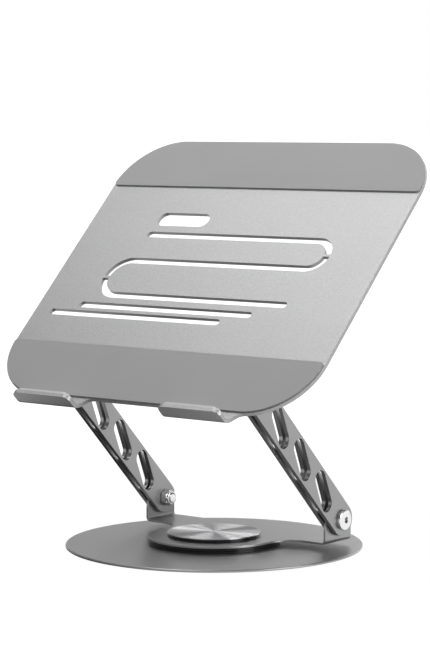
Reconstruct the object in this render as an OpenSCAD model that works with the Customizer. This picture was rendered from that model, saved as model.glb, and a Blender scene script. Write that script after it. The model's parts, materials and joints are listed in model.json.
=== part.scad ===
/* Adjustable laptop stand: a round steel foot, a turntable, a folded yoke,
   two twin-plate arms and a cut-out platform with two front hooks.
   Millimetres, +Z up, the hooks face -Y, the floor is Z = 0. */

/* [Foot] */
// Radius of the round steel foot
base_r = 100; // [92:1:120]
// Thickness of the steel foot
base_t = 1.7; // [1.5:0.1:2.5]
// Thickness of the non-slip sheet under the foot
grip_t = 1.0; // [0.8:0.1:1.6]
// How far the non-slip sheet stays inside the foot's rim
grip_inset = 12; // [6:1:20]

/* [Turntable] */
// Outer radius of the bearing rings and of the yoke's round lobe
ring_r = 44.5; // [42:0.5:50]
// Height of the two bearing rings together
ring_h = 3.5; // [3.4:0.1:5]
// Ball radius
ball_r = 0.9; // [0.7:0.1:0.9]
// Number of balls
ball_n = 24; // [12:2:36]
// Radius of the centre spindle
spindle_r = 6; // [5:0.5:7]
// Radius of the centre cap
cap_r = 31.4; // [29:0.2:36]
// Height of the centre cap above the yoke
cap_h = 2.65; // [2.6:0.05:4]
// Shank radius of the turntable's countersunk rivets
stud_r = 1.5; // [1.2:0.1:1.6]

/* [Yoke] */
// Sheet thickness of the yoke and of the two platform brackets
sheet = 1.5; // [1.2:0.1:1.5]
// Inner bend radius of the folded sheet
bend_r = 1.5; // [1:0.1:1.8]
// Distance from the middle of the stand to the middle of each ear
ear_mid = 76.5; // [72:0.5:86]
// Width of each ear, front to back
ear_w = 29.2; // [26:0.2:32]
// Where the middle of the ears stands behind the turntable axis
ear_y = 35.4; // [34:0.2:40]
// Radius of the inner corner between the lobe and each ear
yoke_fillet = 17; // [10:0.5:17]

/* [Arms] */
// Distance between the two pivots of an arm
arm_len = 128; // [118:1:160]
// Half the width of an arm, which is also its end radius
arm_r = 10.8; // [10:0.1:11]
// Thickness of each arm plate
arm_t = 3.0; // [2.5:0.1:4]
// Gap between the two plates of an arm
arm_gap = 2.4; // [2.2:0.1:3]
// Lean of the arms above the horizontal
lean = 45; // [40:1:60]
// Where the lower pivot stands behind the turntable axis
pivot_y = 35.8; // [34:0.2:38]
// Height of the lower pivot above the top of the yoke
pivot_up = 14.1; // [13.6:0.1:16]
// Number of slots in each arm
slot_n = 3; // [1:1:3]
// Distance between the slots
slot_pitch = 33.35; // [31:0.05:36]
// Half the width of a slot
slot_r = 5.6; // [4:0.1:5.8]
// Length of a slot between its end centres
slot_len = 18.9; // [10:0.1:19]
// Slant of the slots against the arm
slot_slant = 22.7; // [0:0.1:25]

/* [Pivot screws] */
// Radius of the screws
screw_r = 3; // [2.5:0.5:3]
// Radius of the domed screw head
head_r = 6.75; // [6:0.05:8]
// Height of the domed screw head
head_h = 3.2; // [3:0.1:3.6]
// Rise of the dome on the head's face
head_rise = 0.8; // [0.5:0.1:1.2]
// Width across the flats of the lock nuts
nut_af = 10; // [10:0.5:11]
// Running clearance round each screw, on the radius
run_gap = 0.06; // [0.02:0.01:0.1]
// Free space beside each friction washer
side_gap = 0.05; // [0.05:0.01:0.1]

/* [Platform] */
// Tilt of the platform against the floor
tilt = 45; // [30:1:55]
// Platform width
plat_w = 261.3; // [240:0.1:300]
// Platform depth up the slope
plat_d = 233.7; // [228:0.1:260]
// Platform sheet thickness
plat_t = 2.6; // [2:0.1:3]
// Platform corner radius
corner_r = 44; // [30:1:50]
// Distance of the upper pivot from the front edge, along the slope
hinge_v = 26.1; // [25:0.1:30]
// Depth of the upper pivot below the top face
hinge_w = 16.2; // [16:0.1:20]
// Thickness of the silicone pads
pad_t = 1.2; // [0.8:0.1:2]
// How far the pads stay inside the platform's edge
pad_inset = 0.5; // [0.3:0.1:3]
// Small corner radius of the pads
pad_corner = 3; // [1:0.5:6]
// Half the width of the long cut-outs
cut_r = 2.6; // [2:0.1:3]
// Bridge left in each bend of the winding cut-out
cut_bridge = 2.2; // [2:0.1:4]

/* [Brackets] */
// Width of each folded bracket, front to back
lug_w = 30; // [26:0.5:34]
// Length of the bracket's flat that lies against the platform
lug_flat = 22; // [20:0.5:26]
// Radius of the bracket's round end about the pivot
lug_r = 9.5; // [8:0.1:10]
// Shank radius of the rivets that hold the brackets
rivet_r = 2; // [1.5:0.1:2.2]

/* [Hooks] */
// Width of each front hook
hook_w = 49.6; // [40:0.2:52]
// Where the left hook's middle stands
hook_left = -67.1; // [-72:0.1:-60]
// Where the right hook's middle stands
hook_right = 57.6; // [52:0.1:66]
// How far the hooks stand out in front of the platform
hook_out = 9.9; // [9.8:0.1:14]
// Height of the hooks above the platform's top face
hook_h = 12.6; // [10:0.1:20]
// Inner bend radius of the hooks
hook_bend = 4.2; // [3:0.1:5]
// Corner radius at the hooks' free ends
hook_corner = 4.8; // [2:0.1:6]
// Radius where each hook widens into the platform
hook_flare = 9; // [4:0.5:10]
// Thickness of the silicone liners in the hooks
liner_t = 1.7; // [1:0.1:2]

/* [Hidden] */
$fn = 96;
e = 0.01;
base_z = grip_t;
ring_z = base_z + base_t;
yoke_z = ring_z + ring_h;
yoke_top = yoke_z + sheet;
pivot_z = yoke_top + pivot_up;
bend_out = bend_r + sheet;
ear_in = ear_mid - sheet / 2;
ear_out = ear_mid + sheet / 2;
flat_x = ear_out - bend_out;
ear_top_z = yoke_top + 8.3;
race_gap = 0.3;
low_h = ring_h * 0.4;
ball_z = ring_z + low_h + race_gap / 2;
ball_pcr = ring_r * 0.697;
race_in = spindle_r * 2.65;
flange_r = spindle_r * 2.3;
flange_t = grip_t - 0.3;
plate_in = ear_mid - arm_gap / 2 - arm_t;
plate_out = ear_mid + arm_gap / 2;
face_out = plate_out + arm_t;
washer_t = arm_gap / 2 - sheet / 2 - side_gap;
washer_r = 6.5;
dome_r = (head_r * head_r + head_rise * head_rise) / (2 * head_rise);
hook_v = -hook_out;
upper_y = pivot_y - arm_len * cos(lean);
upper_z = pivot_z + arm_len * sin(lean);
front_y = upper_y - hinge_v * cos(tilt) - hinge_w * sin(tilt);
front_z = upper_z - hinge_v * sin(tilt) + hinge_w * cos(tilt);
line1 = plat_d - 89.0;
line2 = plat_d - 113.4;
line3 = plat_d - 144.9;
rivet_u = flat_x - lug_flat * 0.65;
half_w = plat_w / 2;

/* Colours of the materials */
grey = [0.60, 0.60, 0.61];
silver = [0.74, 0.74, 0.75];
steel = [0.80, 0.80, 0.82];
black = [0.06, 0.06, 0.06];
silicone = [0.58, 0.58, 0.58];

/* Shared small forms */
module tube(r1, r0, h) {
    difference() {
        cylinder(r = r1, h = h);
        translate([0, 0, -1]) cylinder(r = r0, h = h + 2);
    }
}

// A flat round-ended bar between two points
module bar(x0, x1, r) {
    translate([x0, -r]) square([x1 - x0, 2 * r]);
    translate([x0, 0]) circle(r);
    translate([x1, 0]) circle(r);
}

// A rectangle with round corners, lower left corner at the origin
module round_rect(w, d, r) {
    translate([r, 0]) square([w - 2 * r, d]);
    translate([0, r]) square([w, d - 2 * r]);
    for (x = [r, w - r], y = [r, d - r]) translate([x, y]) circle(r);
}

// Child drawn for the right side, and its mirror image for the left
module both() {
    children();
    mirror([1, 0, 0]) children();
}

// A flat outline in the Y-Z plane given thickness along +X from x
module along_x(x, t) {
    translate([x, 0, 0]) rotate([90, 0, 90]) linear_extrude(height = t) children();
}

// The frame of the platform's top face: X across, Y up the slope, Z out
module on_platform() {
    translate([0, front_y, front_z]) rotate([tilt, 0, 0]) children();
}

/* The foot */
module base_plate() color(grey) difference() {
    translate([0, 0, base_z]) rotate_extrude() polygon([
        [0, 0], [base_r - 0.4, 0], [base_r, 0.4], [base_r, base_t - 0.5],
        [base_r - 0.5, base_t], [0, base_t]]);
    translate([0, 0, base_z - 1]) cylinder(r = spindle_r, h = base_t + 2);
    lower_rivet_shapes();
}

module base_grip() color(black) difference() {
    cylinder(r = base_r - grip_inset, h = grip_t);
    translate([0, 0, grip_t - flange_t]) cylinder(r = flange_r + 0.3, h = grip_t);
}

/* The turntable: two rings, balls, spindle, washer and clip */
module groove(r) {
    rotate_extrude() translate([ball_pcr, 0]) circle(r, $fn = 48);
}

module bearing_lower() color(black) difference() {
    translate([0, 0, ring_z]) rotate_extrude() polygon([
        [race_in, 0], [ring_r - 0.3, 0], [ring_r, 0.3], [ring_r, low_h], [race_in, low_h]]);
    translate([0, 0, ball_z]) groove(ball_r);
    lower_rivet_shapes();
}

module bearing_upper() color(black) difference() {
    translate([0, 0, ring_z + low_h + race_gap]) rotate_extrude() polygon([
        [race_in, 0], [ring_r, 0], [ring_r, ring_h - low_h - race_gap],
        [race_in, ring_h - low_h - race_gap]]);
    translate([0, 0, ball_z]) groove(ball_r + race_gap);
    upper_rivet_shapes();
}

module bearing_balls() color(steel)
    for (i = [0 : ball_n - 1]) rotate([0, 0, i * 360 / ball_n])
        translate([ball_pcr, 0, ball_z]) sphere(r = ball_r, $fn = 48);

// Countersunk rivets that hold the lower ring to the foot
module lower_rivet_shapes() for (i = [0 : 3]) rotate([0, 0, 45 + i * 90])
    translate([ring_r * 0.854, 0, base_z]) {
        cylinder(r1 = stud_r * 1.8, r2 = stud_r, h = stud_r * 0.65);
        cylinder(r = stud_r, h = base_t + low_h * 0.65);
    }

// Countersunk rivets that hold the yoke to the upper ring, under the cap
module upper_rivet_shapes() for (i = [0 : 3]) rotate([0, 0, i * 90])
    translate([ball_pcr * 0.774, 0, 0]) {
        translate([0, 0, yoke_top - stud_r * 0.65])
            cylinder(r1 = stud_r, r2 = stud_r * 1.8, h = stud_r * 0.65);
        translate([0, 0, yoke_z - low_h * 0.7]) cylinder(r = stud_r, h = sheet + low_h * 0.7);
    }

module lower_rivets() color(steel) lower_rivet_shapes();
module upper_rivets() color(steel) upper_rivet_shapes();

module spindle() color(steel) {
    translate([0, 0, grip_t - flange_t]) cylinder(r = flange_r, h = flange_t);
    translate([0, 0, grip_t - 0.4]) cylinder(r = spindle_r, h = yoke_top + 1.25 - grip_t + 0.4);
}

module glide_washer() color(silicone)
    translate([0, 0, yoke_top + 0.05]) tube(spindle_r * 2, spindle_r, 0.4);

module spindle_clip() color(steel)
    translate([0, 0, yoke_top + 0.45]) tube(spindle_r * 1.65, spindle_r, 0.8);

/* The yoke: one folded sheet, a round lobe and two upright ears */
module yoke_outline() {
    front = ear_y - ear_w / 2;
    circle(ring_r);
    translate([-ring_r, 0]) square([2 * ring_r, front + 1]);
    translate([-flat_x, front]) square([2 * flat_x, ear_w]);
    for (m = [0, 1]) mirror([m, 0]) translate([ring_r - e, front - yoke_fillet])
        difference() {
            square([yoke_fillet + e, yoke_fillet + e]);
            translate([yoke_fillet + e, 0]) circle(yoke_fillet);
        }
}

// One ear: the quarter bend and the upright leg, cut to its round top
module ear() intersection() {
    translate([0, ear_y + ear_w / 2, 0]) rotate([90, 0, 0]) linear_extrude(height = ear_w) {
        translate([flat_x, yoke_top + bend_r]) difference() {
            circle(bend_out);
            circle(bend_r);
            translate([-2 * bend_out, -2 * bend_out]) square([2 * bend_out, 4 * bend_out]);
            translate([-2 * bend_out, 0]) square([4 * bend_out, 2 * bend_out]);
        }
        translate([ear_in, yoke_top + bend_r]) square([sheet, ear_top_z - yoke_top + 30]);
    }
    along_x(0, 200) {
        translate([ear_y - ear_w / 2, 0]) square([ear_w, ear_top_z]);
        translate([ear_y, ear_top_z]) circle(ear_w / 2);
    }
}

module yoke_plate() color(grey) difference() {
    union() {
        translate([0, 0, yoke_z]) linear_extrude(height = sheet) yoke_outline();
        both() ear();
    }
    translate([0, 0, yoke_z - 1]) cylinder(r = spindle_r + run_gap, h = sheet + 2);
    upper_rivet_shapes();
    cap_pegs();
    both() translate([ear_in - 1, pivot_y, pivot_z]) rotate([0, 90, 0])
        cylinder(r = screw_r + run_gap, h = sheet + 2);
}

/* The centre cap: a black body with pegs and a bright turned face */
module cap_pegs() for (i = [0 : 2]) rotate([0, 0, 15 + i * 120])
    translate([cap_r * 0.65, 0, yoke_z + 0.3]) cylinder(r = 2, h = sheet);

module cap_body() color(black) {
    difference() {
        translate([0, 0, yoke_top]) rotate_extrude() polygon([
            [0, 0], [cap_r - 0.3, 0], [cap_r, 0.3], [cap_r, cap_h - 0.6], [0, cap_h - 0.6]]);
        translate([0, 0, yoke_top - 1]) cylinder(r = flange_r, h = cap_h);
    }
    cap_pegs();
}

module cap_face() color(silver) translate([0, 0, yoke_top + cap_h - 0.6]) rotate_extrude()
    polygon([[0, 0], [cap_r, 0], [cap_r, 0.3], [cap_r - 0.3, 0.6], [0, 0.6]]);

/* The arms: two slotted plates each, on either side of an ear */
module arm_outline() translate([pivot_y, pivot_z]) rotate(180 - lean) difference() {
    bar(0, arm_len, arm_r);
    for (i = [0 : slot_n - 1])
        translate([arm_len / 2 + (i - (slot_n - 1) / 2) * slot_pitch, 0]) rotate(-slot_slant)
            bar(-slot_len / 2, slot_len / 2, slot_r);
    circle(screw_r);
    translate([arm_len, 0]) circle(screw_r + run_gap);
}

module outer_plate() along_x(plate_out, arm_t) arm_outline();
module inner_plate() along_x(plate_in, arm_t) arm_outline();

module right_arm_outer() color(grey) outer_plate();
module right_arm_inner() color(grey) inner_plate();
module left_arm_outer() color(grey) mirror([1, 0, 0]) outer_plate();
module left_arm_inner() color(grey) mirror([1, 0, 0]) inner_plate();

/* Pivot hardware, drawn about an axis along +X through the origin */
module at_lower() translate([0, pivot_y, pivot_z]) children();
module at_upper() translate([0, upper_y, upper_z]) children();
module turned(x) translate([x, 0, 0]) rotate([0, 90, 0]) children();

module washer_pair(hole) {
    turned(ear_mid - arm_gap / 2) tube(washer_r, hole, washer_t);
    turned(ear_mid + arm_gap / 2 - washer_t) tube(washer_r, hole, washer_t);
}

// Domed screw with a hex socket, its head outside; gap frees the turning faces
module screw(gap) difference() {
    union() {
        turned(plate_in - 7.0) cylinder(r = screw_r, h = face_out + gap + 1 - plate_in + 7.0);
        turned(face_out + gap) intersection() {
            cylinder(r = head_r, h = head_h);
            translate([0, 0, head_h - dome_r]) sphere(r = dome_r);
        }
    }
    turned(face_out + gap + head_h - 2.0) rotate([0, 0, 30]) cylinder(r = 2.3, h = 3, $fn = 6);
}

// Lock nut with a round insert collar, on the inner face
module nut(gap) difference() {
    union() {
        turned(plate_in - gap - 5.0) cylinder(r = nut_af / 2 / cos(30), h = 5.0, $fn = 6);
        turned(plate_in - gap - 6.2) cylinder(r = nut_af / 2 - 0.4, h = 1.4);
    }
    turned(plate_in - 10) cylinder(r = screw_r, h = 12);
}

module right_lower_washers() color(black) at_lower() washer_pair(screw_r);
module left_lower_washers() color(black) mirror([1, 0, 0]) at_lower() washer_pair(screw_r);
module right_upper_washers() color(black) at_upper() washer_pair(screw_r + run_gap);
module left_upper_washers() color(black) mirror([1, 0, 0]) at_upper() washer_pair(screw_r + run_gap);
module right_lower_screw() color(steel) at_lower() screw(0);
module left_lower_screw() color(steel) mirror([1, 0, 0]) at_lower() screw(0);
module right_upper_screw() color(steel) at_upper() screw(0.1);
module left_upper_screw() color(steel) mirror([1, 0, 0]) at_upper() screw(0.1);
module right_lower_nut() color(steel) at_lower() nut(0);
module left_lower_nut() color(steel) mirror([1, 0, 0]) at_lower() nut(0);
module right_upper_nut() color(steel) at_upper() nut(0.1);
module left_upper_nut() color(steel) mirror([1, 0, 0]) at_upper() nut(0.1);

/* The brackets: a folded lug under each front corner of the platform */
module bracket_shape() translate([0, 0, -plat_t]) difference() {
    drop = hinge_w - plat_t;
    union() {
        translate([flat_x - lug_flat, hinge_v - lug_w / 2, -sheet]) cube([lug_flat, lug_w, sheet]);
        intersection() {
            translate([0, hinge_v + lug_w / 2, 0]) rotate([90, 0, 0]) linear_extrude(height = lug_w) {
                translate([flat_x, -bend_out]) difference() {
                    circle(bend_out);
                    circle(bend_r);
                    translate([-2 * bend_out, -2 * bend_out]) square([2 * bend_out, 4 * bend_out]);
                    translate([-2 * bend_out, -2 * bend_out]) square([4 * bend_out, 2 * bend_out]);
                }
                translate([ear_in, -hinge_w - 20]) square([sheet, hinge_w + 20 - bend_out]);
            }
            along_x(0, 200) {
                translate([hinge_v, -drop]) circle(lug_r);
                polygon([[hinge_v - lug_r, -drop], [hinge_v + lug_r, -drop],
                    [hinge_v + lug_w / 2, -1.5 * bend_out], [hinge_v + lug_w / 2, 1],
                    [hinge_v - lug_w / 2, 1], [hinge_v - lug_w / 2, -1.5 * bend_out]]);
            }
        }
    }
    translate([ear_in - 1, hinge_v, -drop]) rotate([0, 90, 0])
        cylinder(r = screw_r + run_gap, h = sheet + 2);
}

module rivet_shapes() for (s = [-1, 1]) translate([rivet_u, hinge_v + s * lug_w * 0.3, 0]) {
    translate([0, 0, -rivet_r * 0.7]) cylinder(r1 = rivet_r, r2 = rivet_r * 1.7, h = rivet_r * 0.7);
    translate([0, 0, -plat_t - sheet]) cylinder(r = rivet_r, h = plat_t + sheet);
    translate([0, 0, -plat_t - sheet]) mirror([0, 0, 1]) intersection() {
        cylinder(r = rivet_r * 1.75, h = rivet_r * 0.8);
        translate([0, 0, -rivet_r * 1.6]) sphere(r = rivet_r * 2.4);
    }
}

module right_bracket() color(grey) difference() {
    on_platform() bracket_shape();
    on_platform() rivet_shapes();
}

module left_bracket() mirror([1, 0, 0]) right_bracket();

module bracket_rivets() color(steel) both() on_platform() rivet_shapes();

/* The platform: cut-outs, hooks bent from the same sheet, pads and liners */
module wave_cuts() {
    r_right = (line1 - line2) / 2;
    r_left = (line2 - line3) / 2;
    u_right = 73.9;
    u_left = -70.0;
    translate([0, line1]) bar(-70.2, u_right, cut_r);
    translate([0, line2]) translate([u_left, -cut_r]) square([u_right - u_left, 2 * cut_r]);
    translate([0, line3]) bar(u_left, 74.2, cut_r);
    translate([u_right, line1 - r_right]) difference() {
        circle(r_right + cut_r);
        circle(r_right - cut_r);
        translate([-60, -60]) square([60, 120]);
        translate([0, -cut_bridge / 2]) square([60, cut_bridge]);
    }
    translate([u_left, line2 - r_left]) difference() {
        circle(r_left + cut_r);
        circle(r_left - cut_r);
        translate([0, -60]) square([60, 120]);
        translate([-60, -cut_bridge / 2]) square([60, cut_bridge]);
    }
}

module plate_outline() difference() {
    translate([-half_w, 0]) round_rect(plat_w, plat_d, corner_r);
    translate([0, plat_d - 74.5]) bar(-65.3, -32.9, 6.1);
    wave_cuts();
    translate([0, plat_d - 155.0]) bar(-91.6, 51.1, cut_r);
    translate([0, plat_d - 162.8]) bar(-113.9, 29.0, cut_r);
}

// The bent profile of a hook, drawn in the slope-normal plane
module hook_profile() {
    ro = hook_bend + plat_t;
    v0 = hook_v + ro;
    translate([v0, -plat_t]) square([-v0 + 1, plat_t]);
    translate([v0, ro - plat_t]) difference() {
        circle(ro);
        circle(hook_bend);
        translate([0, -2 * ro]) square([2 * ro, 4 * ro]);
        translate([-2 * ro, 0]) square([4 * ro, 2 * ro]);
    }
    translate([hook_v, ro - plat_t]) square([plat_t, hook_h - ro + plat_t]);
}

// One hook about its own middle: the bent strip, its flare and its free end
module hook() {
    f = hook_flare;
    h = hook_w / 2;
    difference() {
        along_x(-h - f, hook_w + 2 * f) hook_profile();
        for (m = [0, 1]) mirror([m, 0, 0]) {
            translate([h + f, -f, -20]) cylinder(r = f, h = 60);
            translate([h, -40 - f, -20]) cube([2 * f, 40, 60]);
            translate([h, hook_v - 1, hook_h - hook_corner]) rotate([-90, 0, 0])
                translate([0, 0, 0]) linear_extrude(height = plat_t + 2) difference() {
                    translate([-hook_corner, -hook_corner - 1]) square([hook_corner + 1, hook_corner + 1]);
                    translate([-hook_corner, 0]) circle(hook_corner);
                }
        }
    }
}

module platform_plate() color(silver) difference() {
    on_platform() {
        translate([0, 0, -plat_t]) linear_extrude(height = plat_t) plate_outline();
        for (u = [hook_left, hook_right]) translate([u, 0, 0]) hook();
    }
    both() on_platform() rivet_shapes();
}

module pad_outline(v0, v1, near) difference() {
    translate([-half_w + pad_inset, pad_inset])
        round_rect(plat_w - 2 * pad_inset, plat_d - 2 * pad_inset, corner_r - pad_inset);
    translate([-200, v1]) square([400, 300]);
    translate([-200, v0 - 300]) square([400, 300]);
    for (m = [0, 1]) mirror([m, 0]) translate([half_w - pad_inset - pad_corner, near])
        mirror([0, near == v1 ? 0 : 1]) translate([0, -pad_corner]) difference() {
            translate([0, 0]) square([pad_corner + 1, pad_corner + 1]);
            circle(pad_corner);
        }
}

module front_pad() color(silicone) on_platform()
    linear_extrude(height = pad_t) pad_outline(-10, corner_r + 0.3, corner_r + 0.3);

module back_pad() color(silicone) on_platform()
    linear_extrude(height = pad_t) pad_outline(plat_d - corner_r, 400, plat_d - corner_r);

// Liner glued to the inner face of a hook, resting on its floor
module liner() translate([0, hook_v + plat_t + liner_t, 0]) rotate([90, 0, 0])
    linear_extrude(height = liner_t) difference() {
        translate([-hook_w / 2 + 2, hook_bend])
            square([hook_w - 4, hook_h - hook_bend - 0.2]);
        for (m = [0, 1]) mirror([m, 0])
            translate([hook_w / 2 - 2 - hook_corner, hook_h - 0.2 - hook_corner]) difference() {
                square([hook_corner + 1, hook_corner + 1]);
                circle(hook_corner);
            }
    }

module left_liner() color(silicone) on_platform() translate([hook_left, 0, 0]) liner();
module right_liner() color(silicone) on_platform() translate([hook_right, 0, 0]) liner();

base_plate();
base_grip();
bearing_lower();
bearing_upper();
bearing_balls();
lower_rivets();
upper_rivets();
spindle();
glide_washer();
spindle_clip();
yoke_plate();
cap_body();
cap_face();
left_arm_outer();
left_arm_inner();
right_arm_outer();
right_arm_inner();
left_lower_washers();
right_lower_washers();
left_upper_washers();
right_upper_washers();
left_lower_screw();
right_lower_screw();
left_upper_screw();
right_upper_screw();
left_lower_nut();
right_lower_nut();
left_upper_nut();
right_upper_nut();
left_bracket();
right_bracket();
bracket_rivets();
platform_plate();
front_pad();
back_pad();
left_liner();
right_liner();
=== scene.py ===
"""Looks of the adjustable laptop stand: rounded sheet-metal edges, turned and
blasted finishes, silicone pads and a plain studio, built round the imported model."""

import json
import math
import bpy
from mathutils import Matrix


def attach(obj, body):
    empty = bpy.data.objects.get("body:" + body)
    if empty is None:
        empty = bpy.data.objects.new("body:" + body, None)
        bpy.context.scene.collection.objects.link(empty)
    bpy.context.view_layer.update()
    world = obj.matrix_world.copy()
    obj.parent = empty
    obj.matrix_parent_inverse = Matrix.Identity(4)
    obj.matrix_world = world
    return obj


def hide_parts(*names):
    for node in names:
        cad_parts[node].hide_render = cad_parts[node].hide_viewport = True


bl_info = {
    "name": "Laptop stand looks",
    "version": (1, 0, 0),
    "blender": (4, 5, 0),
    "location": "3D View > Sidebar > Laptop stand",
    "description": "Dresses the adjustable laptop stand and sets up its studio",
    "category": "Object",
}

import bmesh
import bpy
from mathutils import Matrix, Vector

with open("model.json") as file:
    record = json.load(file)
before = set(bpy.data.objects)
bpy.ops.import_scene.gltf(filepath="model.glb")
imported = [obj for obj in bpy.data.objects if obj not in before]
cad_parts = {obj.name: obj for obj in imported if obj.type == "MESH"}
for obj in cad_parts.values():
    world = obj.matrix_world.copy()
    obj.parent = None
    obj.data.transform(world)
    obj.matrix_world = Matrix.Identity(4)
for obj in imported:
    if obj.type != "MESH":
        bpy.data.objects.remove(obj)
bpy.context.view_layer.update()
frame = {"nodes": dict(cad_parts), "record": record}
BODY_OF = {node: body for body, nodes in frame["record"]["behaviour"]["bodies"].items()
           for node in nodes}
MM = 0.001
MERGE_WITHIN = 0.002 * MM         # vertices closer than this become one
FLAT_WITHIN = math.radians(0.4)   # triangles this close to one plane become one face
ROUND_ABOVE = math.radians(28)    # edges sharper than this are rounded
SHARP_ABOVE = math.radians(50)    # edges sharper than this are shaded sharp
BEVEL_SEGMENTS = 3
SPIN_STEPS = 96                   # divides by 12, so that a hexagon's corners fall on steps
HEX_SIDE = math.radians(60)


# ---------------------------------------------------------------- settings

def length(name, description, default):
    return bpy.props.FloatProperty(name=name, description=description, default=default,
                                   min=0.0, max=10 * MM, unit="LENGTH", precision=5)


def colour(name, description, default):
    return bpy.props.FloatVectorProperty(name=name, description=description, default=default,
                                         subtype="COLOR", size=3, min=0.0, max=1.0)


class StandEdges(bpy.types.PropertyGroup):
    arm: length("Arm edge", "Rounding along the edges of the arm plates", 0.75 * MM)
    sheet: length("Sheet edge", "Rounding along the edges of the yoke and the brackets", 0.32 * MM)
    platform: length("Platform edge", "Rounding along the platform's edges", 0.3 * MM)
    pad: length("Pad edge", "Rounding along the silicone pads", 0.2 * MM)


class StandColours(bpy.types.PropertyGroup):
    grey: colour("Satin grey", "Painted steel of the foot, yoke and arms", (0.36, 0.36, 0.365))
    silver: colour("Blasted aluminium", "Platform plate", (0.42, 0.42, 0.425))
    turned: colour("Turned aluminium", "Face of the centre cap", (0.62, 0.62, 0.63))
    pads: colour("Silicone pads", "The two pads on the platform", (0.4, 0.4, 0.4))
    liners: colour("Silicone liners", "The liners in the hooks", (0.66, 0.66, 0.66))
    black: colour("Gloss black", "Bearing rings and cap body", (0.012, 0.012, 0.012))


# ---------------------------------------------------------------- node helpers

class Finish:
    """A small builder for one material's node tree."""

    def __init__(self, name, base, metallic, roughness, **constants):
        self.mat = bpy.data.materials.new(name)
        self.mat.use_nodes = True
        tree = self.mat.node_tree
        self.nodes, self.links = tree.nodes, tree.links
        self.shader = self.nodes["Principled BSDF"]
        self.set("Base Color", (*base, 1.0))
        self.set("Metallic", metallic)
        self.set("Roughness", roughness)
        for key, value in constants.items():
            self.set(key.replace("_", " "), value)
        self.coords = self.nodes.new("ShaderNodeTexCoord").outputs["Object"]

    def set(self, socket, value):
        self.shader.inputs[socket].default_value = value

    def node(self, kind, **inputs):
        made = self.nodes.new(kind)
        for key, value in inputs.items():
            socket = made.inputs[key.replace("_", " ")]
            if isinstance(value, bpy.types.NodeSocket):
                self.links.new(value, socket)
            else:
                socket.default_value = value
        return made

    def noise(self, size, detail=2.0, rough=0.5, vector=None):
        """Noise whose features are about `size` metres across."""
        made = self.node("ShaderNodeTexNoise", Vector=vector or self.coords,
                         Scale=1.0 / size, Detail=detail, Roughness=rough)
        return made.outputs["Fac"]

    def maths(self, operation, a, b=0.0):
        made = self.nodes.new("ShaderNodeMath")
        made.operation = operation
        for i, value in enumerate((a, b)):
            if isinstance(value, bpy.types.NodeSocket):
                self.links.new(value, made.inputs[i])
            else:
                made.inputs[i].default_value = value
        return made.outputs[0]

    def spread(self, value, low, high, start=0.3, end=0.7):
        made = self.node("ShaderNodeMapRange", Value=value, From_Min=start, From_Max=end,
                         To_Min=low, To_Max=high)
        return made.outputs["Result"]

    def tint(self, base, factor):
        """Base colour times a factor that varies over the surface."""
        made = self.nodes.new("ShaderNodeMix")
        made.data_type, made.blend_type = "RGBA", "MULTIPLY"
        made.inputs["Factor"].default_value = 1.0
        made.inputs["A"].default_value = (*base, 1.0)
        self.links.new(factor, made.inputs["B"])
        self.links.new(made.outputs["Result"], self.shader.inputs["Base Color"])

    def drive(self, socket, value):
        self.links.new(value, self.shader.inputs[socket])

    def bump(self, height, strength, distance):
        made = self.node("ShaderNodeBump", Height=height, Strength=strength, Distance=distance)
        self.links.new(made.outputs["Normal"], self.shader.inputs["Normal"])


def finish_once(name):
    """Decorator: builds a material the first time it is asked for."""
    def wrap(make):
        def get():
            return bpy.data.materials.get(name) or make(name)
        return get
    return wrap


@finish_once("satin_grey_finish")
def satin_grey(name):
    base = bpy.context.scene.stand_colours.grey
    f = Finish(name, base, 0.8, 0.32)
    fine = f.noise(0.35 * MM, 2.0, 0.6)
    broad = f.noise(28 * MM, 3.0, 0.5)
    shade = f.maths("MULTIPLY", f.spread(fine, 0.97, 1.03), f.spread(broad, 0.985, 1.015))
    f.tint(base, shade)
    f.drive("Roughness", f.maths("ADD", f.spread(fine, -0.01, 0.01), f.spread(broad, 0.3, 0.315)))
    f.bump(fine, 0.08, 0.02 * MM)
    return f.mat


@finish_once("silver_finish")
def silver(name):
    base = bpy.context.scene.stand_colours.silver
    f = Finish(name, base, 0.8, 0.5)
    grain = f.noise(0.55 * MM, 3.0, 0.75)
    sparkle = f.noise(1.1 * MM, 2.0, 0.8)
    broad = f.noise(60 * MM, 2.0, 0.5)
    shade = f.maths("MULTIPLY", f.spread(grain, 0.9, 1.1, 0.35, 0.65),
                    f.spread(sparkle, 0.94, 1.06, 0.35, 0.65))
    shade = f.maths("MULTIPLY", shade, f.spread(broad, 0.985, 1.015))
    f.tint(base, shade)
    f.drive("Roughness", f.spread(grain, 0.44, 0.56))
    f.bump(grain, 0.25, 0.03 * MM)
    return f.mat


@finish_once("grey_silicone_finish")
def grey_silicone(name):
    base = bpy.context.scene.stand_colours.pads
    f = Finish(name, base, 0.0, 0.62)
    fine = f.noise(0.4 * MM, 2.0, 0.6)
    broad = f.noise(40 * MM, 2.0, 0.5)
    f.tint(base, f.maths("MULTIPLY", f.spread(fine, 0.985, 1.015), f.spread(broad, 0.985, 1.015)))
    f.drive("Roughness", f.spread(fine, 0.58, 0.68))
    f.bump(fine, 0.2, 0.02 * MM)
    return f.mat


@finish_once("pale_silicone_finish")
def pale_silicone(name):
    base = bpy.context.scene.stand_colours.liners
    f = Finish(name, base, 0.0, 0.45)
    fine = f.noise(0.5 * MM, 2.0, 0.6)
    f.tint(base, f.spread(fine, 0.97, 1.03))
    f.bump(fine, 0.15, 0.02 * MM)
    return f.mat


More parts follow.
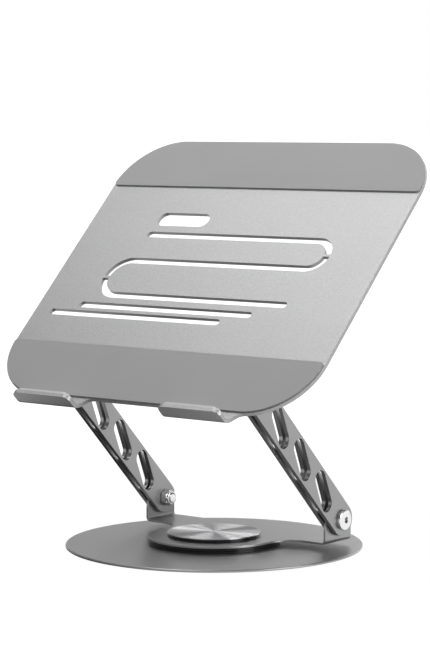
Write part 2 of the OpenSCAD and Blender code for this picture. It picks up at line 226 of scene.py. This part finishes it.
@finish_once("turned_finish")
def turned(name):
    base = bpy.context.scene.stand_colours.turned
    f = Finish(name, base, 1.0, 0.42, Anisotropic=1.0)
    split = f.node("ShaderNodeSeparateXYZ", Vector=f.coords)
    x, y = split.outputs["X"], split.outputs["Y"]
    radius = f.maths("SQRT", f.maths("ADD", f.maths("MULTIPLY", x, x), f.maths("MULTIPLY", y, y)))
    rings = f.node("ShaderNodeCombineXYZ", X=radius).outputs["Vector"]
    groove = f.noise(0.22 * MM, 2.0, 0.7, rings)
    f.tint(base, f.spread(groove, 0.93, 1.05))
    f.bump(groove, 0.06, 0.02 * MM)
    outward = f.node("ShaderNodeCombineXYZ", X=x, Y=y).outputs["Vector"]
    world = f.node("ShaderNodeVectorTransform", Vector=outward)
    world.vector_type, world.convert_from, world.convert_to = "VECTOR", "OBJECT", "WORLD"
    unit = f.nodes.new("ShaderNodeVectorMath")
    unit.operation = "NORMALIZE"
    f.links.new(world.outputs["Vector"], unit.inputs[0])
    f.drive("Tangent", unit.outputs["Vector"])
    return f.mat


@finish_once("gloss_black_finish")
def gloss_black(name):
    base = bpy.context.scene.stand_colours.black
    f = Finish(name, base, 0.0, 0.16, Specular_IOR_Level=0.3)
    fine = f.noise(1.6 * MM, 3.0, 0.6)
    f.tint(base, f.spread(fine, 0.8, 1.3))
    f.drive("Roughness", f.spread(fine, 0.12, 0.22))
    f.bump(fine, 0.1, 0.02 * MM)
    return f.mat


@finish_once("black_rubber_finish")
def black_rubber(name):
    base = (0.022, 0.022, 0.022)
    f = Finish(name, base, 0.0, 0.8)
    fine = f.noise(0.6 * MM, 2.0, 0.6)
    f.tint(base, f.spread(fine, 0.85, 1.15))
    f.bump(fine, 0.4, 0.04 * MM)
    return f.mat


@finish_once("nylon_finish")
def nylon(name):
    base = (0.05, 0.05, 0.05)
    f = Finish(name, base, 0.0, 0.45)
    fine = f.noise(0.8 * MM, 2.0, 0.5)
    f.tint(base, f.spread(fine, 0.9, 1.1))
    f.bump(fine, 0.15, 0.02 * MM)
    return f.mat


@finish_once("bright_steel_finish")
def bright_steel(name):
    base = (0.6, 0.6, 0.61)
    f = Finish(name, base, 1.0, 0.26)
    fine = f.noise(0.5 * MM, 2.0, 0.6)
    f.tint(base, f.spread(fine, 0.93, 1.06))
    f.drive("Roughness", f.spread(fine, 0.22, 0.32))
    f.bump(fine, 0.1, 0.01 * MM)
    return f.mat


@finish_once("chrome_finish")
def chrome(name):
    base = (0.86, 0.86, 0.87)
    f = Finish(name, base, 1.0, 0.09)
    fine = f.noise(0.7 * MM, 2.0, 0.6)
    # Painted shade: ambient occlusion darkens the chrome's colour in the hex sockets, round the
    # collars and where the heads meet the arms
    painted_recess_shade = f.node("ShaderNodeAmbientOcclusion", Distance=2.5 * MM).outputs["AO"]
    f.tint(base, f.maths("MULTIPLY", f.spread(fine, 0.97, 1.02),
                         f.spread(painted_recess_shade, 0.12, 1.0, 0.35, 0.75)))
    f.drive("Roughness", f.spread(fine, 0.07, 0.12))
    f.bump(fine, 0.06, 0.01 * MM)
    return f.mat


# ---------------------------------------------------------------- mesh helpers

def merged(node):
    """A copy of a CAD node's mesh with its triangles joined into whole faces."""
    bm = bmesh.new()
    bm.from_mesh(frame["nodes"][node].data)
    bmesh.ops.remove_doubles(bm, verts=bm.verts, dist=MERGE_WITHIN)
    bmesh.ops.dissolve_limit(bm, angle_limit=FLAT_WITHIN, use_dissolve_boundaries=False,
                             verts=bm.verts, edges=bm.edges)
    return bm


def round_edges(bm, width):
    """Rounds every edge sharper than ROUND_ABOVE, less where the faces are too narrow."""
    sharp = [edge for edge in bm.edges
             if len(edge.link_faces) == 2 and edge.calc_face_angle(0.0) > ROUND_ABOVE]
    bmesh.ops.bevel(bm, geom=sharp, offset=width, offset_type="OFFSET",
                    segments=BEVEL_SEGMENTS, profile=0.5, affect="EDGES", clamp_overlap=True,
                    material=-1)


def add_piece(name, bm, nodes, material):
    """Makes the mesh an object that rides on its nodes' body and stands for them."""
    mesh = bpy.data.meshes.new(name)
    bm.to_mesh(mesh)
    bm.free()
    mesh.materials.clear()
    mesh.materials.append(material)
    mesh.shade_smooth()
    mesh.set_sharp_from_angle(angle=SHARP_ABOVE)
    piece = bpy.data.objects.new(name, mesh)
    bpy.context.scene.collection.objects.link(piece)
    flat = piece.modifiers.new("Flat faces stay flat", "WEIGHTED_NORMAL")
    flat.keep_sharp = True
    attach(piece, BODY_OF[nodes[0]])
    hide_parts(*nodes)
    return piece


def rounded_copy(name, node, width, material):
    """A piece made from one CAD node with its edges rounded."""
    bm = merged(node)
    round_edges(bm, width)
    return add_piece(name, bm, [node], material)


def finish_node(node, material):
    """A CAD node whose own shape is right keeps it and gets its finish."""
    mesh = frame["nodes"][node].data
    mesh.materials.clear()
    mesh.materials.append(material)


def spun(profile):
    """Turns a profile of (radius, height) corners, in mm, about the Z axis. It starts and
    ends on the axis, or else its ends are joined."""
    bm = bmesh.new()
    verts = [bm.verts.new((r * MM, 0.0, z * MM)) for r, z in profile]
    edges = [bm.edges.new((a, b)) for a, b in zip(verts, verts[1:])]
    if profile[0][0] > 0.0:
        edges.append(bm.edges.new((verts[-1], verts[0])))
    bmesh.ops.spin(bm, geom=verts + edges, cent=(0, 0, 0), axis=(0, 0, 1),
                   angle=2 * math.pi, steps=SPIN_STEPS, use_merge=True)
    bmesh.ops.remove_doubles(bm, verts=bm.verts, dist=MERGE_WITHIN)
    bmesh.ops.recalc_face_normals(bm, faces=bm.faces)
    return bm


# ---------------------------------------------------------------- the pieces

class StandOperator(bpy.types.Operator):
    bl_options = {"REGISTER", "UNDO"}

    def execute(self, context):
        self.build(context.scene.stand_edges)
        return {"FINISHED"}


class STAND_OT_foot(StandOperator):
    """Steel foot and the non-slip sheet under it"""
    bl_idname, bl_label = "stand.foot", "Foot"

    def build(self, edges):
        rounded_copy("steel_foot", "base_plate", edges.sheet, satin_grey())
        finish_node("base_grip", black_rubber())


class STAND_OT_turntable(StandOperator):
    """Two gloss black bearing rings, their balls, the spindle and its fixings"""
    bl_idname, bl_label = "stand.turntable", "Turntable"

    def build(self, edges):
        for name, node, width in (("lower_bearing_ring", "bearing_lower", 0.1 * MM),
                                  ("upper_bearing_ring", "bearing_upper", 0.15 * MM)):
            rounded_copy(name, node, width, gloss_black())
        for node in ("bearing_balls", "lower_rivets", "upper_rivets", "spindle", "spindle_clip"):
            finish_node(node, bright_steel())
        finish_node("glide_washer", nylon())


class STAND_OT_yoke(StandOperator):
    """Folded yoke: the round lobe and the two upright ears"""
    bl_idname, bl_label = "stand.yoke", "Yoke"

    def build(self, edges):
        rounded_copy("folded_yoke", "yoke_plate", edges.sheet, satin_grey())


class STAND_OT_cap(StandOperator):
    """Centre cap: black body and turned face"""
    bl_idname, bl_label = "stand.cap", "Centre cap"

    def build(self, edges):
        rounded_copy("cap_black_body", "cap_body", 0.12 * MM, gloss_black())
        rounded_copy("cap_turned_face", "cap_face", 0.1 * MM, turned())


class STAND_OT_arms(StandOperator):
    """The four slotted arm plates with rounded edges"""
    bl_idname, bl_label = "stand.arms", "Arms"

    def build(self, edges):
        for side in ("left", "right"):
            for face in ("outer", "inner"):
                node = f"{side}_arm_{face}"
                rounded_copy(f"{side}_{face}_plate", node, edges.arm,
                             satin_grey())


def reach_of(node):
    """Lowest and highest corner of a CAD node, and which way is outwards along X."""
    cad = frame["nodes"][node]
    corners = [cad.matrix_world @ Vector(c) for c in cad.bound_box]
    low, high = [Vector(pick(c[i] for c in corners) for i in range(3)) for pick in (min, max)]
    return low, high, 1.0 if low.x + high.x > 0.0 else -1.0


def hexagon(bm, rings):
    """Moves the vertices on the given (radius, height) rings onto a hexagon's sides."""
    near = 0.01
    for vert in bm.verts:
        r, z = math.hypot(vert.co.x, vert.co.y) / MM, vert.co.z / MM
        if any(abs(r - ring_r) < near and abs(z - ring_z) < near for ring_r, ring_z in rings):
            turn = (math.atan2(vert.co.y, vert.co.x) - HEX_SIDE / 2) % HEX_SIDE
            flat = math.cos(HEX_SIDE / 2) / math.cos(turn - HEX_SIDE / 2)
            vert.co.x, vert.co.y = vert.co.x * flat, vert.co.y * flat


def placed(bm, towards, base, low, high):
    """Turns a mesh made about Z onto the pivot's axis; its height runs along `towards` X."""
    axes = Matrix(((0, 0, towards, base), (towards, 0, 0, (low.y + high.y) / 2),
                   (0, 1, 0, (low.z + high.z) / 2), (0, 0, 0, 1)))
    bmesh.ops.transform(bm, matrix=axes, verts=bm.verts)
    return bm


def domed_screw(node):
    """A screw with a domed head and hex socket, turned on the CAD screw's own axis."""
    low, high, outward = reach_of(node)
    head_r, head_h, rise = 6.75, 3.2, 0.8
    socket_r, depth, chamfer = 2.3, 2.0, 0.1
    shank_r, point_r, point_h = 3.0, 2.75, 0.6
    end = head_h - (high.x - low.x) / MM
    dome_r = (head_r * head_r + rise * rise) / (2 * rise)

    def dome(r):
        return head_h - dome_r + math.sqrt(dome_r * dome_r - r * r)

    socket = [(socket_r, head_h - depth), (socket_r, dome(socket_r) - chamfer),
              (socket_r + chamfer, dome(socket_r))]
    face = [(r, dome(r)) for r in (3.2, 4.2, 5.2, 6.0)]
    rim = [(6.35, dome(6.35) - 0.02), (6.58, 2.32), (6.71, 2.16), (head_r, 1.95),
           (head_r, 0.2), (head_r - 0.2, 0.0)]
    shank = [(shank_r, 0.0), (shank_r, end + point_h), (point_r, end), (0.0, end)]
    bm = spun([(0.0, head_h - depth), *socket, *face, *rim, *shank])
    hexagon(bm, socket)
    top = high.x if outward > 0 else low.x
    return placed(bm, outward, top - outward * head_h * MM, low, high)


def lock_nut(node):
    """A hexagonal nut with chamfered corners and a bright rounded collar."""
    low, high, outward = reach_of(node)
    thick, across, bore = (high.x - low.x) / MM, 10.0, 3.0
    body, chamfer, round_r = 5.0, 0.5, across / 2 - 0.1
    corner = across / 2 / math.cos(HEX_SIDE / 2)
    flats = [(corner, chamfer), (corner, body - chamfer)]
    collar_r = across / 2 - 0.4
    collar = [(collar_r, body), (collar_r, thick - 0.45), (collar_r - 0.15, thick - 0.12),
              (collar_r - 0.5, thick), (bore + 0.5, thick), (bore + 0.2, thick - 0.3)]
    bm = spun([(bore, 0.0), (round_r, 0.0), *flats, (round_r, body), *collar,
               (bore, thick - 0.3)])
    hexagon(bm, flats)
    return placed(bm, -outward, high.x if outward > 0 else low.x, low, high)


class STAND_OT_pivots(StandOperator):
    """Domed screws, lock nuts and friction washers at the four pivots"""
    bl_idname, bl_label = "stand.pivots", "Pivot hardware"

    def build(self, edges):
        for side in ("left", "right"):
            for level in ("lower", "upper"):
                at = f"{side}_{level}"
                add_piece(f"{at}_domed_screw", domed_screw(f"{at}_screw"),
                          [f"{at}_screw"], chrome())
                add_piece(f"{at}_lock_nut", lock_nut(f"{at}_nut"), [f"{at}_nut"],
                          chrome())
                finish_node(f"{at}_washers", nylon())


class STAND_OT_brackets(StandOperator):
    """Folded brackets under the platform and their rivets"""
    bl_idname, bl_label = "stand.brackets", "Brackets"

    def build(self, edges):
        for side in ("left", "right"):
            rounded_copy(f"{side}_folded_bracket", f"{side}_bracket", edges.sheet,
                         satin_grey())
        finish_node("bracket_rivets", bright_steel())


class STAND_OT_platform(StandOperator):
    """Platform plate with its winding cut-outs and the two hooks"""
    bl_idname, bl_label = "stand.platform", "Platform"

    def build(self, edges):
        rounded_copy("blasted_platform", "platform_plate", edges.platform,
                     silver())


class STAND_OT_pads(StandOperator):
    """The two silicone pads and the liners in the hooks"""
    bl_idname, bl_label = "stand.pads", "Pads and liners"

    def build(self, edges):
        for side in ("front", "back"):
            rounded_copy(f"{side}_silicone_pad", f"{side}_pad", edges.pad,
                         grey_silicone())
        for side in ("left", "right"):
            rounded_copy(f"{side}_hook_liner", f"{side}_liner", edges.pad,
                         pale_silicone())


# ---------------------------------------------------------------- the studio

def area_light(name, place, target, size, watts):
    """A square softbox that points at the target."""
    data = bpy.data.lights.new(name, "AREA")
    data.shape, data.size, data.energy = "SQUARE", size, watts
    lamp = bpy.data.objects.new(name, data)
    bpy.context.scene.collection.objects.link(lamp)
    lamp.location = place
    lamp.rotation_euler = (Vector(target) - Vector(place)).to_track_quat("-Z", "Y").to_euler()


class StudioNodes:
    """Mixes what lights the scene with what the camera and reflections see."""

    def __init__(self, tree):
        self.tree = tree
        self.path = tree.nodes.new("ShaderNodeLightPath")

    def maths(self, operation, a, b):
        made = self.tree.nodes.new("ShaderNodeMath")
        made.operation = operation
        for i, value in enumerate((a, b)):
            if isinstance(value, bpy.types.NodeSocket):
                self.tree.links.new(value, made.inputs[i])
            else:
                made.inputs[i].default_value = value
        return made.outputs[0]

    def ramp(self, value, start, end, low, high):
        made = self.tree.nodes.new("ShaderNodeMapRange")
        made.interpolation_type = "SMOOTHSTEP"
        self.tree.links.new(value, made.inputs["Value"])
        for key, number in (("From Min", start), ("From Max", end), ("To Min", low),
                            ("To Max", high)):
            made.inputs[key].default_value = number
        return made.outputs["Result"]

    def mix(self, share, first, second):
        made = self.tree.nodes.new("ShaderNodeMixShader")
        self.tree.links.new(share, made.inputs[0])
        self.tree.links.new(first, made.inputs[1])
        self.tree.links.new(second, made.inputs[2])
        return made.outputs[0]

    def glow(self, kind, strength):
        made = self.tree.nodes.new(kind)
        made.inputs["Color"].default_value = (1.0, 1.0, 1.0, 1.0)
        if isinstance(strength, bpy.types.NodeSocket):
            self.tree.links.new(strength, made.inputs["Strength"])
        else:
            made.inputs["Strength"].default_value = strength
        return made.outputs[0]

    @property
    def camera(self):
        return self.path.outputs["Is Camera Ray"]

    @property
    def mirrored(self):
        return self.maths("MAXIMUM", self.path.outputs["Is Glossy Ray"],
                          self.path.outputs["Is Transmission Ray"])


class STAND_OT_studio(StandOperator):
    """Pale floor, soft lamps, white surroundings and the camera"""
    bl_idname, bl_label = "stand.studio", "Studio"

    def build(self, edges):
        self.floor()
        self.world()
        self.lamps()
        self.camera()

    def floor(self):
        """Lit floor that the camera sees as nearly white, with the object's shadow left in.
        Reflections see a painted shadow on it under the stand, and white further out."""
        bm = bmesh.new()
        bmesh.ops.create_grid(bm, x_segments=1, y_segments=1, size=30.0)
        mesh = bpy.data.meshes.new("studio_floor")
        bm.to_mesh(mesh)
        bm.free()
        floor = bpy.data.objects.new("studio_floor", mesh)
        bpy.context.scene.collection.objects.link(floor)
        mat = bpy.data.materials.new("pale_floor")
        mat.use_nodes = True
        tree = mat.node_tree
        lit = tree.nodes["Principled BSDF"]
        lit.inputs["Base Color"].default_value = (0.22, 0.22, 0.22, 1.0)
        lit.inputs["Roughness"].default_value = 0.9
        studio = StudioNodes(tree)
        reach = tree.nodes.new("ShaderNodeVectorMath")
        reach.operation = "DISTANCE"
        reach.inputs[1].default_value = (-0.07, 0.0, 0.0)
        tree.links.new(tree.nodes.new("ShaderNodeTexCoord").outputs["Object"], reach.inputs[0])
        reach = reach.outputs["Value"]
        # Painted shadow for reflections: the floor glows at 0.02 under the stand and at full white
        # from 0.17 m out
        level = studio.ramp(reach, start=0.11, end=0.17, low=0.02, high=1.0)
        seen = studio.mix(studio.mirrored, lit.outputs[0],
                          studio.glow("ShaderNodeEmission", level))
        clear = studio.ramp(reach, start=0.25, end=0.45, low=0.82, high=1.0)
        seen = studio.mix(studio.maths("MULTIPLY", studio.camera, clear), seen,
                          studio.glow("ShaderNodeEmission", 1.2))
        tree.links.new(seen, tree.nodes["Material Output"].inputs["Surface"])
        mesh.materials.append(mat)

    def world(self):
        """White behind the object, a little soft light, and a white horizon in reflections."""
        world = bpy.context.scene.world or bpy.data.worlds.new("studio")
        bpy.context.scene.world = world
        world.use_nodes = True
        tree = world.node_tree
        lit = tree.nodes["Background"]
        lit.inputs["Color"].default_value = (1.0, 1.0, 1.0, 1.0)
        lit.inputs["Strength"].default_value = 0.12
        studio = StudioNodes(tree)
        split = tree.nodes.new("ShaderNodeSeparateXYZ")
        tree.links.new(tree.nodes.new("ShaderNodeTexCoord").outputs["Generated"], split.inputs[0])
        height = studio.ramp(split.outputs["Z"], start=0.05, end=0.32, low=1.05, high=0.2)
        seen = studio.mix(studio.mirrored, lit.outputs[0],
                          studio.glow("ShaderNodeBackground", height))
        seen = studio.mix(studio.camera, seen, studio.glow("ShaderNodeBackground", 1.0))
        tree.links.new(seen, tree.nodes["World Output"].inputs["Surface"])

    def lamps(self):
        low, middle, high = (0.0, 0.0, 0.1), (0.0, 0.0, 0.15), (0.0, 0.0, 0.2)
        area_light("top_softbox", (-0.1, -0.05, 1.3), low, 1.0, 7.0)
        area_light("top_left_softbox", (-1.05, -0.12, 1.5), middle, 0.5, 2.2)
        area_light("near_left_softbox", (-0.4, 0.03, 0.93), high, 0.45, 0.35)
        area_light("front_softbox", (0.1, -0.7, 1.2), middle, 0.8, 2.5)
        area_light("right_softbox", (1.3, 0.1, 0.6), middle, 0.7, 10.0)
        area_light("back_softbox", (-0.49, 1.09, 0.73), low, 0.4, 1.7)
        area_light("back_left_softbox", (-0.89, 0.78, 1.08), low, 0.35, 1.7)
        area_light("low_back_softbox", (0.05, 1.45, 0.42), low, 0.5, 1.6)

    def camera(self):
        data = bpy.data.cameras.new("photo_camera")
        data.lens, data.sensor_width = 132.52, 36.0
        data.clip_start, data.clip_end = 0.05, 100.0
        camera = bpy.data.objects.new("photo_camera", data)
        bpy.context.scene.collection.objects.link(camera)
        azimuth, elevation = math.radians(38.463), math.radians(4.893)
        distance, aside, target_height = 1.58776, 0.6 * MM, 151.4 * MM
        back = Vector((math.sin(azimuth) * math.cos(elevation),
                       -math.cos(azimuth) * math.cos(elevation), math.sin(elevation)))
        target = Vector((aside * math.cos(azimuth), aside * math.sin(azimuth), target_height))
        camera.location = target + back * distance
        camera.rotation_euler = (-back).to_track_quat("-Z", "Y").to_euler()
        bpy.context.scene.camera = camera
        bpy.context.scene.view_settings.view_transform = "Standard"


# ---------------------------------------------------------------- the add-on

OPERATORS = (STAND_OT_foot, STAND_OT_turntable, STAND_OT_yoke, STAND_OT_cap, STAND_OT_arms,
             STAND_OT_pivots, STAND_OT_brackets, STAND_OT_platform, STAND_OT_pads,
             STAND_OT_studio)


class STAND_PT_panel(bpy.types.Panel):
    """Lists the stand's pieces and their settings"""
    bl_idname, bl_label = "STAND_PT_panel", "Laptop stand"
    bl_space_type, bl_region_type, bl_category = "VIEW_3D", "UI", "Laptop stand"

    def draw(self, context):
        for settings in (context.scene.stand_edges, context.scene.stand_colours):
            column = self.layout.column()
            for key in settings.bl_rna.properties.keys():
                if key not in ("rna_type", "name"):
                    column.prop(settings, key)
        for operator in OPERATORS:
            self.layout.operator(operator.bl_idname)


CLASSES = (StandEdges, StandColours, *OPERATORS, STAND_PT_panel)


def register():
    for cls in CLASSES:
        bpy.utils.register_class(cls)
    bpy.types.Scene.stand_edges = bpy.props.PointerProperty(type=StandEdges)
    bpy.types.Scene.stand_colours = bpy.props.PointerProperty(type=StandColours)


def unregister():
    del bpy.types.Scene.stand_colours
    del bpy.types.Scene.stand_edges
    for cls in reversed(CLASSES):
        bpy.utils.unregister_class(cls)


def main():
    register()
    for operator in OPERATORS:
        module, name = operator.bl_idname.split(".")
        getattr(getattr(bpy.ops, module), name)()


if __name__ == "__main__":
    main()
